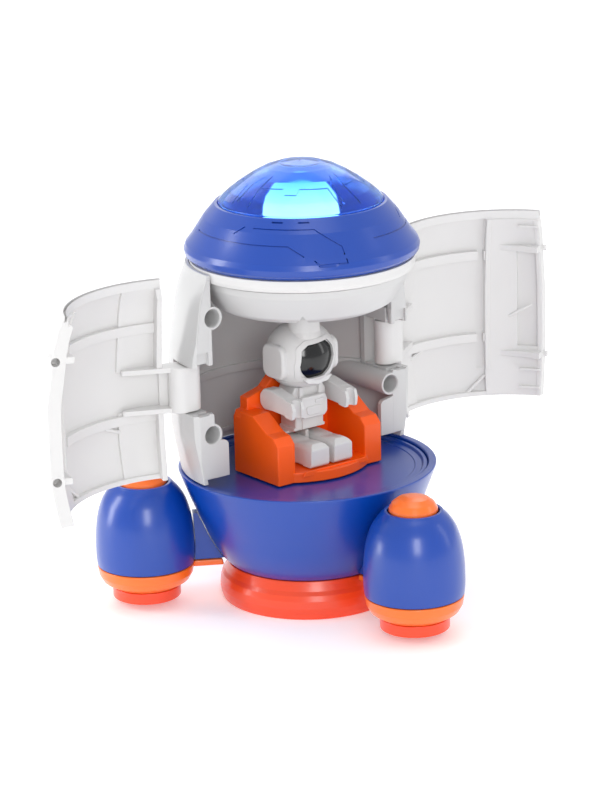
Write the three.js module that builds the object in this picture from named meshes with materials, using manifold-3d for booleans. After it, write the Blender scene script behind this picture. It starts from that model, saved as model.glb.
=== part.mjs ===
// Toy space capsule: a round cabin on a bowl with three boosters. Two curved doors swing open
// on a seated astronaut, and a clear-topped dome with a small light sits on the cabin.
// Millimetres, +Z up, front is -Y, origin at the middle of the underside.
import * as THREE from 'three';
import { mergeVertices } from 'three/addons/utils/BufferGeometryUtils.js';
import Module from 'manifold-3d';

const wasm = await Module();
wasm.setup();

// ---- driving dimensions ----
const gap = 0.3; // between pieces that touch
const wall = 2.2; // moulded wall
const bigSides = 32; // facets round the large turned pieces
const smallSides = 16; // facets round the boosters
const tinySides = 12; // facets round pins, pegs and screws

const footRadius = 38.6;
const footTop = 16.4;
const bowlBottom = 16.8;
const bowlTop = 58.8;
const bowlProfile = [[36.1, 16.8], [41.7, 25], [46.4, 35], [50.8, 45], [54.4, 54.2], [55.9, 58.8]];
const deckTop = 56.6;
const deckRadius = 51.9;

const boosterOrbit = 71.4; // booster axis to cabin axis
const boosterAngles = [270, 150, 30];
const boosterProfile = [[21.0, 18.2], [21.3, 27], [20.7, 36], [18.0, 46], [14.0, 53], [11.9, 54.8]];
const nozzleRadius = 14.9;
const nozzleBottom = 3.2;
const partLine = 18.2; // blue above, orange below
const capRadius = 10.6;
const capTop = 60.8;
const webThick = 6;

const cabinProfile = [[54.5, 59.1], [57.6, 80], [58.2, 104], [56.4, 127], [52.0, 143.5], [49.8, 149.8]];
const cabinBottom = 59.1;
const cabinTop = 149.8;
const frameInner = 48.2; // inner edge of the flat mating frame
const frameDepth = 3;
const bossRadius = 6;
const bossBore = 4;
const bosses = [[-47.4, 131.1], [-49.2, 80.6], [47.4, 131.1], [46.9, 84.2]];

const hingeX = 53.2;
const hingeY = 11;
const knuckleRadius = 4.8;
const pinRadius = 1.4;
const slotLow = 90;
const slotHigh = 111;
const slotDepth = 20;
const knuckleLow = 90.6;
const knuckleHigh = 110.4;
const leftOpen = 113; // degrees each door stands open
const rightOpen = 121;
const doorBottom = 61.6;
const doorTop = 149.5;
const doorEdge = 0.5; // door edge to the split plane
const pegs = [[-55.4, 81], [-53.8, 131]]; // Y and Z of each locating peg
const pegRadius = 1.3;

const ringRadius = 47.9;
const ringBottom = 145.5;
const ringTop = 150.7;
const cupFloor = 129.6;
const collarProfile = [[47.3, 151], [49.7, 153.2], [50, 155.5], [49, 157.4], [46.6, 160.6],
  [41.3, 168.6], [36.3, 174.3]];
const lensProfile = [[35.3, 175], [30.2, 179.4], [25.2, 183.1], [19.8, 186.6], [14.8, 189.1], [9, 190.8], [0, 191.6]];

const seatHalf = 28;
const seatBottom = 56.9;
const panTop = 61.5;
const seatBack = 15;
const backFront = 9.5;
const armInner = 18.8;
const armFront = -16.5;

const figureX = -0.8; // middle of the seated figure
const figureY = 2;
const helmetRadius = 15.4;
const helmetZ = 106.6;
const torsoTop = 94.2;
const shoulderY = 3.6;
const shoulderZ = 89.2;

const colours = {
  blue: [0x2f5fc4, 0.35, 0],
  orange: [0xf4732c, 0.35, 0],
  deepOrange: [0xd9512a, 0.4, 0],
  seatOrange: [0xe8451f, 0.4, 0],
  white: [0xf2f2f0, 0.4, 0],
  grey: [0xd9d9d8, 0.45, 0],
  figure: [0xe6e4e2, 0.5, 0],
  lens: [0x2b6fd0, 0.08, 0],
  glow: [0xcfe4ff, 0.3, 0],
  visor: [0x3a3a3d, 0.15, 0.4],
  steel: [0xb9bcc0, 0.3, 1],
  board: [0x1f6b3a, 0.5, 0],
  black: [0x222326, 0.5, 0],
};

// ---- helpers ----
function solidOf(geometry) {
  const bare = geometry.clone();
  bare.deleteAttribute('normal');
  bare.deleteAttribute('uv');
  const merged = mergeVertices(bare, 1e-4);
  const index = merged.index.array;
  const kept = [];
  for (let i = 0; i < index.length; i += 3) {
    const [a, b, c] = [index[i], index[i + 1], index[i + 2]];
    if (a !== b && b !== c && c !== a) kept.push(a, b, c);
  }
  const vertProperties = new Float32Array(merged.attributes.position.array);
  const solid = new wasm.Manifold(new wasm.Mesh({ numProp: 3, vertProperties, triVerts: new Uint32Array(kept) }));
  if (solid.volume() >= 0) return solid;
  for (let i = 0; i < kept.length; i += 3) [kept[i + 1], kept[i + 2]] = [kept[i + 2], kept[i + 1]];
  return new wasm.Manifold(new wasm.Mesh({ numProp: 3, vertProperties, triVerts: new Uint32Array(kept) }));
}

function geometryOf(solid) {
  const mesh = solid.getMesh();
  const geometry = new THREE.BufferGeometry();
  geometry.setAttribute('position', new THREE.BufferAttribute(new Float32Array(mesh.vertProperties), 3));
  geometry.setIndex(new THREE.BufferAttribute(new Uint32Array(mesh.triVerts), 1));
  geometry.computeVertexNormals();
  return geometry;
}

function turned(outline, sides = bigSides) {
  const points = outline.map(([r, z]) => new THREE.Vector2(r, z));
  const first = points[0];
  const last = points[points.length - 1];
  if (first.x > 0 || last.x > 0) points.push(first.clone());
  return solidOf(new THREE.LatheGeometry(points, sides).rotateX(Math.PI / 2));
}

function block(x0, x1, y0, y1, z0, z1) {
  const box = new THREE.BoxGeometry(x1 - x0, y1 - y0, z1 - z0);
  return solidOf(box.translate((x0 + x1) / 2, (y0 + y1) / 2, (z0 + z1) / 2));
}

// a flat outline in X and Y, pushed up from z0 to z1
function plate(outline, z0, z1) {
  const shape = new THREE.Shape(outline.map(([x, y]) => new THREE.Vector2(x, y)));
  const geometry = new THREE.ExtrudeGeometry(shape, { depth: z1 - z0, bevelEnabled: false });
  return solidOf(geometry.translate(0, 0, z0));
}

// an outline in Y and Z, pushed along X
function sidePlate(outline, x0, x1) {
  const shape = new THREE.Shape(outline.map(([y, z]) => new THREE.Vector2(y, z)));
  const geometry = new THREE.ExtrudeGeometry(shape, { depth: x1 - x0, bevelEnabled: false });
  return solidOf(geometry.rotateX(Math.PI / 2).rotateZ(Math.PI / 2).translate(x0, 0, 0));
}

// an outline in X and Z, pushed along Y
function frontPlate(outline, y0, y1) {
  const shape = new THREE.Shape(outline.map(([x, z]) => new THREE.Vector2(x, z)));
  const geometry = new THREE.ExtrudeGeometry(shape, { depth: y1 - y0, bevelEnabled: false });
  return solidOf(geometry.rotateX(Math.PI / 2).translate(0, y1, 0));
}

function rod(radius, from, to, sides = tinySides) {
  const start = new THREE.Vector3(...from);
  const end = new THREE.Vector3(...to);
  const geometry = new THREE.CylinderGeometry(radius, radius, start.distanceTo(end), sides);
  const along = new THREE.Vector3().subVectors(end, start).normalize();
  const turn = new THREE.Quaternion().setFromUnitVectors(new THREE.Vector3(0, 1, 0), along);
  const middle = start.add(end).multiplyScalar(0.5);
  return solidOf(geometry.applyQuaternion(turn).translate(middle.x, middle.y, middle.z));
}

function ball(radius, x, y, z, across = 20, up = 14) {
  return solidOf(new THREE.SphereGeometry(radius, across, up).rotateX(Math.PI / 2).translate(x, y, z));
}

// a smooth curve through outline points, sampled into straight steps
function smooth(outline, steps) {
  const curve = new THREE.SplineCurve(outline.map(([r, z]) => new THREE.Vector2(r, z)));
  return curve.getPoints(steps).map((p) => [p.x, p.y]);
}

const shrink = (outline, by) => outline.map(([r, z]) => [r - by, z]);
const grow = (outline, by) => shrink(outline, -by);

const capsule = new THREE.Group();

function add(name, solid, colour, parent = capsule) {
  const [hex, roughness, metalness] = colours[colour];
  const material = new THREE.MeshStandardMaterial({ color: hex, roughness, metalness });
  const mesh = new THREE.Mesh(geometryOf(solid), material);
  mesh.name = name;
  parent.add(mesh);
  return mesh;
}

// ---- foot, bowl and deck ----
const screwOrbit = 26;
const screwShank = 1.2;
const screwHead = 2.8;
const screwTop = 15;
const footPlate = 3;
const screwSpots = boosterAngles.map((angle) => {
  const turn = THREE.MathUtils.degToRad(angle + 60);
  return [screwOrbit * Math.cos(turn), screwOrbit * Math.sin(turn)];
});

function makeFoot() {
  const outer = [[footRadius, 0], [39.3, 3.5], [39.2, 7.5], [38.4, 11], [35.6, footTop]];
  const inner = [[33.2, footTop], [35.8, 11], [36.6, 7.5], [36.6, footPlate], [0, footPlate]];
  let foot = turned([[0, 0], ...outer, ...inner]);
  for (const [x, y] of screwSpots) {
    foot = foot.subtract(rod(screwHead + gap, [x, y, -1], [x, y, 1.6]));
    foot = foot.subtract(rod(screwShank + gap, [x, y, -1], [x, y, footPlate + 1]));
  }
  return foot;
}

const bowlOuter = smooth(bowlProfile, 7);

function makeBowl() {
  const wallInside = shrink(bowlOuter, wall).filter(([, z]) => z > bowlBottom + wall && z < 52).reverse();
  const rim = [[deckRadius + gap, bowlTop], [deckRadius + gap, 54.2], [50.2, 53.2]];
  const floor = [[35, bowlBottom + wall], [0, bowlBottom + wall]];
  let bowl = turned([[0, bowlBottom], ...bowlOuter, ...rim, ...wallInside, ...floor]);
  for (const [x, y] of screwSpots) {
    bowl = bowl.add(rod(3.6, [x, y, footPlate + gap], [x, y, bowlBottom + 1]));
    bowl = bowl.subtract(rod(screwShank + gap, [x, y, 0], [x, y, screwTop + gap]));
  }
  return bowl;
}

const screwSolid = ([x, y]) => rod(screwHead, [x, y, 0.2], [x, y, 1.3])
  .add(rod(screwShank, [x, y, 1], [x, y, screwTop]));

add('foot', makeFoot(), 'deepOrange');
add('bowl', makeBowl(), 'blue');
screwSpots.forEach((spot, i) => add(`foot_screw_${i + 1}`, screwSolid(spot), 'steel'));
add('deck', turned([[0, 54.5], [deckRadius, 54.5], [deckRadius, 58.2], [49.6, 58.2], [48.8, deckTop], [0, deckTop]]), 'blue');

// ---- boosters and the webs that carry them ----
const boosterOuter = smooth(boosterProfile, 6);
const bandOuter = [[15.4, 8.6], [18.9, 11], [20.5, 14], [21, partLine - gap]];

function webSolid(z0, z1, inner, thick) {
  const web = block(inner, boosterOrbit - 15, -thick / 2, thick / 2, z0, z1);
  const bowlRoom = turned([[0, bowlBottom - gap], ...grow(bowlOuter, gap), [0, bowlTop]]);
  const boosterRoom = turned([[0, 2], [15.7, 8.3], [19.3, 10.7], [20.9, 13.8], [21.4, 17.6],
    ...grow(boosterOuter, gap), [0, 56]], smallSides);
  return web.subtract(bowlRoom).subtract(boosterRoom.translate(boosterOrbit, 0, 0));
}

boosterAngles.forEach((angle, i) => {
  const arm = new THREE.Group();
  arm.rotation.z = THREE.MathUtils.degToRad(angle);
  capsule.add(arm);
  const seat = new THREE.Group();
  seat.position.x = boosterOrbit;
  arm.add(seat);
  const n = i + 1;
  const shell = [...boosterOuter, ...shrink(boosterOuter, 1.8).reverse()];
  add(`booster_shell_${n}`, turned(shell, smallSides), 'blue', seat);
  const band = [[0, 8.6], ...bandOuter, [19.3, partLine - gap], [18.8, 14.6], [17.4, 12], [14.6, 10.4], [0, 10.4]];
  add(`booster_band_${n}`, turned(band, smallSides), 'orange', seat);
  const nozzle = [[0, 6.5], [12.4, 6.5], [12.4, nozzleBottom], [14.6, nozzleBottom], [nozzleRadius, 3.8],
    [nozzleRadius, 8.3], [0, 8.3]];
  add(`booster_nozzle_${n}`, turned(nozzle, smallSides), 'deepOrange', seat);
  const skirt = 9;
  const cap = [[capRadius, 55.2], [10.2, 56.6], [8.4, 58.7], [5, 60.3], [0, capTop], [0, 59.2], [6.5, 57.6],
    [7.4, 50], [skirt, 50], [skirt, 55]];
  add(`booster_cap_${n}`, turned(cap, smallSides), 'orange', seat);
  add(`web_${n}`, webSolid(partLine + 0.2, 39.5, 38, webThick), 'blue', arm);
  add(`web_trim_${n}`, webSolid(15.2, partLine - 0.1, 37.4, webThick + 1), 'orange', arm);
});

// ---- cabin shell ----
const cabinOuter = smooth(cabinProfile, 8);
const cabinSolid = turned([[0, cabinBottom], ...cabinOuter, [0, cabinTop]]);
const cabinCore = turned([[0, cabinBottom - 1], ...shrink(cabinOuter, wall), [0, cabinTop + 1]]);
const cabinWall = cabinSolid.subtract(cabinCore);

function makeRearShell() {
  const behind = block(-70, 70, 0, 70, 0, 200);
  let shell = cabinWall.intersect(behind);
  for (const side of [-1, 1]) {
    const edges = [frameInner * side, 60 * side].sort((a, b) => a - b);
    shell = shell.add(cabinSolid.intersect(block(...edges, 0, frameDepth, 60.5, 148)));
    const lug = [(hingeX - 4.5) * side, 60 * side].sort((a, b) => a - b);
    shell = shell.add(cabinSolid.intersect(block(...lug, 5, 23, 85, 117.5)));
  }
  for (const [x, z] of bosses) {
    shell = shell.add(cabinSolid.intersect(rod(bossRadius, [x, 0, z], [x, 34, z], 16)));
    shell = shell.subtract(rod(bossBore, [x, -1, z], [x, 17, z], 16));
  }
  for (const side of [-1, 1]) {
    const bevel = [[-61, -1], [-55.8, -1], [-55.8, 0], [-58.6, 1.6], [-61, 1.6]].map(([x, y]) => [x * -side, y]);
    shell = shell.subtract(plate(side < 0 ? bevel : [...bevel].reverse(), 40, 160));
  }
  const cupRoom = turned([[0, 128], [36.8, 129.4], [45, 141], [47, 145], [48.2, 145.2], [48.2, 152], [0, 152]]);
  shell = shell.subtract(cupRoom);
  for (const side of [-1, 1]) {
    const slot = [45.5 * side, 62 * side].sort((a, b) => a - b);
    shell = shell.subtract(block(...slot, -1, slotDepth, slotLow, slotHigh));
    shell = shell.subtract(rod(pinRadius + 0.2, [hingeX * side, hingeY, 86.8], [hingeX * side, hingeY, 116]));
  }
  return shell;
}

add('rear_shell', makeRearShell(), 'grey');
for (const [name, side] of [['left', -1], ['right', 1]]) {
  const pin = rod(pinRadius, [hingeX * side, hingeY, 87.2], [hingeX * side, hingeY, 115.6]);
  add(`${name}_hinge_pin`, pin, 'steel');
}

// ---- doors, drawn closed and then swung open about their hinge pins ----
function makeDoor(side) {
  const span = (x0, x1) => [x0 * side, x1 * side].sort((a, b) => a - b);
  const quarter = block(...span(doorEdge, 70), -70, -doorEdge, doorBottom, doorTop);
  let door = cabinWall.intersect(quarter);
  const thick = (by) => cabinSolid.subtract(turned([[0, 50], [54.5 - by, 50], ...shrink(cabinOuter, by), [0, 151]]));
  door = door.add(thick(6).intersect(block(...span(doorEdge, 3.4), -70, -doorEdge, doorBottom, doorTop)));
  door = door.add(thick(8).intersect(block(...span(0, 70), -3.4, -doorEdge, doorBottom, 146)));
  door = door.add(thick(4).intersect(quarter).intersect(block(...span(doorEdge, 70), -70, 0, doorBottom, 63.8)));
  door = door.add(thick(3.4).intersect(quarter).intersect(block(...span(doorEdge, 70), -70, 0, 143.4, 145.4)));
  const farAngle = THREE.MathUtils.degToRad(19);
  const far = [55.8 * Math.cos(farAngle) * side, -55.8 * Math.sin(farAngle)];
  const near = [(hingeX - knuckleRadius) * side, hingeY];
  const shelf = [near, far, [57.2 * side, -6], [57.6 * side, -1], [(hingeX + knuckleRadius) * side, hingeY]];
  const outline = side < 0 ? shelf : [...shelf].reverse();
  for (const z of [knuckleLow, knuckleHigh - wall]) door = door.add(plate(outline, z, z + wall));
  const web = [[52.8 * side, 8], [52.8 * side, -2], [56.4 * side, -2], [57.4 * side, 8]];
  door = door.add(plate(side < 0 ? web : [...web].reverse(), knuckleLow, knuckleHigh));
  const pivot = [hingeX * side, hingeY];
  door = door.add(rod(knuckleRadius, [...pivot, knuckleLow], [...pivot, knuckleHigh], 16));
  door = door.subtract(rod(pinRadius + 0.2, [...pivot, 80], [...pivot, 120]));
  const ringRoom = [[0, 138], [43.4, 138], [46.5, ringBottom - gap], [ringRadius + gap, ringBottom - gap]];
  door = door.subtract(turned([...ringRoom, [ringRadius + gap, 152], [0, 152]]));
  for (const [y, z] of pegs) {
    if (side > 0) door = door.add(rod(pegRadius, [1, y, z], [-1.2, y, z]));
    else door = door.subtract(rod(pegRadius + 0.6, [1, y, z], [-3, y, z]));
  }
  return door.translate(-hingeX * side, -hingeY, 0);
}

function hangDoor(name, side, open) {
  const hinge = new THREE.Group();
  hinge.position.set(hingeX * side, hingeY, 0);
  hinge.rotation.z = THREE.MathUtils.degToRad(open * side);
  capsule.add(hinge);
  add(name, makeDoor(side), 'white', hinge);
}

hangDoor('left_door', -1, leftOpen);
hangDoor('right_door', 1, rightOpen);

// ---- neck: the cup that closes the cabin, and the white ring round its top ----
const cupOuter = [[36, cupFloor], [38.5, 131.5], [40.5, 134.5], [42.5, 138], [44.6, 142], [45.6, 145.2]];
const cupInner = [[43.4, 145.2], [42.4, 142], [40.4, 138], [38.4, 134.8], [36.8, 132.6], [35, 131.6], [0, 131.6]];
add('neck_cup', turned([[0, cupFloor], ...cupOuter, ...cupInner]), 'grey');
add('neck_ring', turned([[43.6, ringBottom], [47.5, ringBottom], [ringRadius, 146], [ringRadius, ringTop], [43.6, ringTop]]), 'white');

// ---- dome and its light ----
const collarInner = [[35.2, 172.4], [39.4, 167.2], [44.4, 159.6], [46.9, 155.4], [45.4, 151]];
const lensInner = [[0, 189.8], [8.7, 188.9], [18.9, 184.8], [28.6, 178.2], [33.2, 173.8], [33.2, 172.4]];
const coreOuter = [[16, 156.5], [16, 170], [14.6, 175.6], [10.8, 180], [5.6, 182.8], [0, 183.6]];
const coreInner = [[0, 182], [5, 181.2], [9.6, 178.8], [13, 174.8], [14.4, 170], [14.4, 156.5]];
add('dome_collar', turned([...collarProfile, [35.2, 174.3], ...collarInner]), 'blue');
add('dome_lens', turned([[34.9, 172.4], [34.9, 175.3], ...lensProfile.slice(1), ...lensInner]), 'lens');
add('light_core', turned([...coreOuter, ...coreInner], smallSides), 'glow');
const trayTop = 152.8;
add('light_tray', turned([[0, 151], [44.8, 151], [44.8, 151.8], [41, trayTop], [0, trayTop]]), 'grey');
add('lamp_board', turned([[0, trayTop + gap], [12, trayTop + gap], [12, 154.6], [0, 154.6]], 16), 'board');
add('lamp', turned([[0, 154.9], [2.5, 154.9], [2.5, 158], [1.8, 159.6], [0, 160.3]], tinySides), 'glow');

const cellRadius = 5.8;
const cellSpots = [-13, 0, 13];
const trayBottom = 138;
let holder = block(-21.5, 21.5, -8, 8, trayBottom, 146);
for (const x of cellSpots) holder = holder.subtract(rod(cellRadius + gap, [x, 0, 140], [x, 0, 147], 16));
add('battery_holder', holder, 'black');
cellSpots.forEach((x, i) => {
  add(`button_cell_${i + 1}`, rod(cellRadius, [x, 0, 140.2], [x, 0, 145.6], 16), 'steel');
});

// ---- seat ----
function makeSeat() {
  const rounded = [];
  for (let i = 0; i <= 8; i++) {
    const t = i / 4 - 1;
    rounded.push([20 * t, -23 + 6.5 * t * t]);
  }
  const panOutline = [[-seatHalf, seatBack], [-seatHalf, armFront], ...rounded, [seatHalf, armFront], [seatHalf, seatBack]];
  let seat = plate(panOutline, seatBottom, panTop);
  const arm = [[armFront, seatBottom], [armFront, 74.6], [-14.5, 76.6], [-9, 78], [1, 84.6], [backFront + 0.5, 84.6],
    [backFront + 0.5, seatBottom]];
  seat = seat.add(sidePlate(arm, -seatHalf, -armInner)).add(sidePlate(arm, armInner, seatHalf));
  const half = [[seatHalf, seatBottom], [seatHalf, 82], [24.2, 84.6], [24.2, 89.7], [13.8, 92], [9.3, 97.7]];
  const mirrored = half.map(([x, z]) => [-x, z]).reverse();
  seat = seat.add(frontPlate([...half, ...mirrored], backFront, seatBack));
  return seat.subtract(ball(helmetRadius + 0.9, figureX, figureY, helmetZ, 16, 12));
}

add('seat', makeSeat(), 'seatOrange');

// ---- astronaut: turns at the neck, shoulders and hips ----
const astronaut = new THREE.Group();
astronaut.position.x = figureX;
capsule.add(astronaut);

function makeHelmet() {
  const head = ball(helmetRadius, 0, figureY, helmetZ, 16, 12);
  const mouth = block(-9.6, 9.6, -20, -8.2, 98.6, 115.2);
  const neckPlane = block(-20, 20, -20, 20, torsoTop + 0.4, 130);
  const peak = new THREE.CylinderGeometry(0.8, 6.4, 7.6, tinySides).rotateX(Math.PI / 2).translate(-0.8, -2.4, 121.4);
  return head.intersect(neckPlane).subtract(mouth).add(solidOf(peak));
}

function makeVisor() {
  const pane = block(-9.2, 9.2, -20, -8.5, 99, 114.8);
  return ball(helmetRadius - 1.2, 0, figureY, helmetZ, 16, 12).intersect(pane);
}

const torso = [[-7.6, torsoTop], [-8.8, 91], [-8.6, 82], [-6.8, 74.6], [6.8, 74.6], [8.6, 82], [8.8, 91], [7.6, torsoTop]];
add('astronaut_helmet', makeHelmet(), 'figure', astronaut);
add('astronaut_visor', makeVisor(), 'visor', astronaut);
add('astronaut_torso', frontPlate(torso, -3.6, 7.6), 'figure', astronaut);
add('astronaut_chest_pack', block(-7.3, 7.3, -7.2, -3.9, 80.2, 92.6), 'figure', astronaut);
const hips = block(-10.4, 10.4, 0.6, 6.4, 73, 74.3).add(block(-0.9, 0.9, -1.6, 6.2, 62.2, 73.5));
add('astronaut_hips', hips, 'figure', astronaut);
const leg = [[-18.6, 63], [-17.4, 61.9], [3.4, 61.9], [7.4, 65.2], [7.4, 69], [4.4, 72], [-16.2, 72.2], [-18.6, 70]];
const arm = [[8.6, 86.4], [8.6, 91], [5.8, 93.8], [0.5, 94.2], [-14, 91.2], [-15, 88], [-14.4, 83.6], [0, 84.8],
  [5.4, 84.4]];
for (const [name, side] of [['left', 1], ['right', -1]]) {
  const [legX, armX] = side > 0 ? [1.3, 11.3] : [-11.1, -17.6];
  const shoulder = rod(3, [9.2 * side, shoulderY, shoulderZ], [12 * side, shoulderY, shoulderZ]);
  add(`astronaut_${name}_leg`, sidePlate(leg, legX, legX + 9.8), 'figure', astronaut);
  add(`astronaut_${name}_arm`, sidePlate(arm, armX, armX + 6.3).add(shoulder), 'figure', astronaut);
}

export default capsule;
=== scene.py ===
# Looks for the toy space capsule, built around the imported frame. Outlines are in millimetres.
import bpy
import bmesh
import math
from mathutils import Matrix, Vector


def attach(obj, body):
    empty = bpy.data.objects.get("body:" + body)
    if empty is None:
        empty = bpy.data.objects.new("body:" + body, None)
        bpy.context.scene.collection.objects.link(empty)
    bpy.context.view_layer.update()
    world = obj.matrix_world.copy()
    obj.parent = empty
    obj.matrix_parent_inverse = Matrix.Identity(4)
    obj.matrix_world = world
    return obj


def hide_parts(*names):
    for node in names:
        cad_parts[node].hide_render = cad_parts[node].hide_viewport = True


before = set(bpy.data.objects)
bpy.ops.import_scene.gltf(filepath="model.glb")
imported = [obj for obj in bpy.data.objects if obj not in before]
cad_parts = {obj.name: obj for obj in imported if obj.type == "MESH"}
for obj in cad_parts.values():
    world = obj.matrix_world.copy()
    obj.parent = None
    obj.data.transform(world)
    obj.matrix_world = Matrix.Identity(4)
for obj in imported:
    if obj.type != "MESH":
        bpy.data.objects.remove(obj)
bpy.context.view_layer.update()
mm = 0.001
scene = bpy.context.scene
print("frame loaded")


# outlines

# corners turned into short arcs; a corner may carry its own radius as a third number
def rounded(outline, radius=0.6, closed=True, steps=4):
    points = []
    last = len(outline) - 1
    for i, corner in enumerate(outline):
        here = Vector(corner[:2])
        reach = corner[2] if len(corner) > 2 else radius
        back = Vector(outline[i - 1][:2]) - here
        ahead = Vector(outline[(i + 1) % len(outline)][:2]) - here
        half = back.angle(ahead, math.pi) / 2
        if reach <= 0 or half > math.radians(87) or (not closed and i in (0, last)):
            points.append(here)
            continue
        cut = min(reach / math.tan(half), 0.45 * back.length, 0.45 * ahead.length)
        start = here + back.normalized() * cut
        end = here + ahead.normalized() * cut
        centre = here + (back.normalized() + ahead.normalized()).normalized() * (cut / math.cos(half))
        first = math.atan2(*(start - centre).yx)
        turn = (math.atan2(*(end - centre).yx) - first + math.pi) % (2 * math.pi) - math.pi
        size = (start - centre).length
        for k in range(steps + 1):
            angle = first + turn * k / steps
            points.append(centre + size * Vector((math.cos(angle), math.sin(angle))))
    return points


# a smooth line through the points of an outline
def curveThrough(points, steps=6):
    line = []
    for i in range(len(points) - 1):
        a, b = Vector(points[max(i - 1, 0)]), Vector(points[i])
        c, d = Vector(points[i + 1]), Vector(points[min(i + 2, len(points) - 1)])
        for k in range(steps):
            t = k / steps
            line.append(0.5 * (2 * b + (c - a) * t + (2 * a - 5 * b + 4 * c - d) * t**2
                               + (3 * b - a - 3 * c + d) * t**3))
    return line + [Vector(points[-1])]


def inset(points, by):
    return [Vector((p[0] - by, p[1])) for p in points]


# loose solids, made in millimetres and joined or cut before they become a piece

def solidFrom(bm, bevel=0.0, segments=3, angle=25):
    bmesh.ops.remove_doubles(bm, verts=bm.verts, dist=1e-4)
    bmesh.ops.recalc_face_normals(bm, faces=bm.faces)
    if bevel:
        sharp = [e for e in bm.edges if e.calc_face_angle(0) > math.radians(angle)]
        bmesh.ops.bevel(bm, geom=sharp, offset=bevel, segments=segments, profile=0.5,
                        affect="EDGES", clamp_overlap=True)
    mesh = bpy.data.meshes.new("solid")
    bm.to_mesh(mesh)
    bm.free()
    solid = bpy.data.objects.new("solid", mesh)
    scene.collection.objects.link(solid)
    return solid


# an outline of radius and height turned round Z; one that leaves the axis has to return to it
def turned(outline, sides=144, centre=(0, 0)):
    bm = bmesh.new()
    rings = []
    for r, z in outline:
        if r < 1e-6:
            rings.append([bm.verts.new((centre[0], centre[1], z))])
            continue
        turns = [2 * math.pi * k / sides for k in range(sides)]
        rings.append([bm.verts.new((centre[0] + r * math.cos(t), centre[1] + r * math.sin(t), z))
                      for t in turns])
    pairs = list(zip(rings, rings[1:]))
    if len(rings[0]) > 1 or len(rings[-1]) > 1:
        pairs.append((rings[-1], rings[0]))
    for low, high in pairs:
        for k in range(sides):
            n = (k + 1) % sides
            corners = [low[k % len(low)], low[n % len(low)], high[n % len(high)], high[k % len(high)]]
            corners = list(dict.fromkeys(corners))
            if len(corners) > 2:
                bm.faces.new(corners)
    return solidFrom(bm)


# an outline pushed from low to high: axis z takes X and Y, axis x takes Y and Z, axis y takes X and Z
def prism(outline, low, high, axis="z", bevel=0.4, segments=3):
    place = {"z": lambda p, h: (p[0], p[1], h), "x": lambda p, h: (h, p[0], p[1]),
             "y": lambda p, h: (p[0], h, p[1])}[axis]
    bm = bmesh.new()
    bottom = [bm.verts.new(place(p, low)) for p in outline]
    top = [bm.verts.new(place(p, high)) for p in outline]
    bm.faces.new(bottom)
    bm.faces.new(top[::-1])
    for i in range(len(outline)):
        n = (i + 1) % len(outline)
        bm.faces.new((bottom[i], bottom[n], top[n], top[i]))
    return solidFrom(bm, bevel, segments)


def block(x0, x1, y0, y1, z0, z1, bevel=0.4):
    return prism([(x0, y0), (x1, y0), (x1, y1), (x0, y1)], z0, z1, "z", bevel)


def bar(start, end, radius, sides=32, bevel=0.3, tip=None):
    bm = bmesh.new()
    start, end = Vector(start), Vector(end)
    bmesh.ops.create_cone(bm, cap_ends=True, segments=sides, radius1=radius,
                          radius2=radius if tip is None else tip, depth=(end - start).length)
    turn = Vector((0, 0, 1)).rotation_difference(end - start).to_matrix().to_4x4()
    bm.transform(Matrix.Translation((start + end) / 2) @ turn)
    return solidFrom(bm, bevel, 3, 40)


def ball(radius, centre, across=64, up=40):
    bm = bmesh.new()
    bmesh.ops.create_uvsphere(bm, u_segments=across, v_segments=up, radius=radius)
    bm.transform(Matrix.Translation(centre))
    return solidFrom(bm)


# one solid from several: adds are joined to the base, cuts are taken away, and limits are kept inside
def fused(base, adds=(), cuts=(), limits=()):
    for kind, others in (("UNION", adds), ("INTERSECT", limits), ("DIFFERENCE", cuts)):
        if not others:
            continue
        group = bpy.data.collections.new("others")
        for other in others:
            group.objects.link(other)
        step = base.modifiers.new(kind, "BOOLEAN")
        step.operation = kind
        step.solver = "MANIFOLD"
        step.operand_type = "COLLECTION"
        step.collection = group
    bpy.context.view_layer.update()
    mesh = bpy.data.meshes.new_from_object(base.evaluated_get(bpy.context.evaluated_depsgraph_get()))
    for other in (*adds, *cuts, *limits, base):
        bpy.data.objects.remove(other)
    solid = bpy.data.objects.new("solid", mesh)
    scene.collection.objects.link(solid)
    return solid


# smooth faces between sharp edges, with the normals of wide faces kept flat up to their rounded edges
def evenShading(solid, sharp):
    solid.data.shade_smooth()
    solid.data.set_sharp_from_angle(angle=math.radians(sharp))
    step = solid.modifiers.new("evenFaces", "WEIGHTED_NORMAL")
    step.keep_sharp = True
    step.weight = 50


def plainMesh(solid):
    bpy.context.view_layer.update()
    mesh = bpy.data.meshes.new_from_object(solid.evaluated_get(bpy.context.evaluated_depsgraph_get()))
    bpy.data.objects.remove(solid)
    return mesh


# a finished mesh becomes a piece at the origin: the body that it rides and the nodes it replaces
def addPiece(name, mesh, body, nodes):
    mesh.name = name
    piece = bpy.data.objects.new(name, mesh)
    scene.collection.objects.link(piece)
    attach(piece, body)
    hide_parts(*nodes)


# a solid in millimetres becomes a piece in metres, with a finish and smooth faces between sharp edges
def makePiece(name, solid, look, body, nodes, sharp=36, place=None):
    mesh = solid.data
    if place is not None:
        mesh.transform(place)
        if place.determinant() < 0:
            mesh.flip_normals()
    mesh.transform(Matrix.Scale(mm, 4))
    mesh.materials.clear()
    mesh.materials.append(look)
    evenShading(solid, sharp)
    addPiece(name, plainMesh(solid), body, nodes)


# repeats round the axis, made by one Geometry Nodes tree

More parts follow.
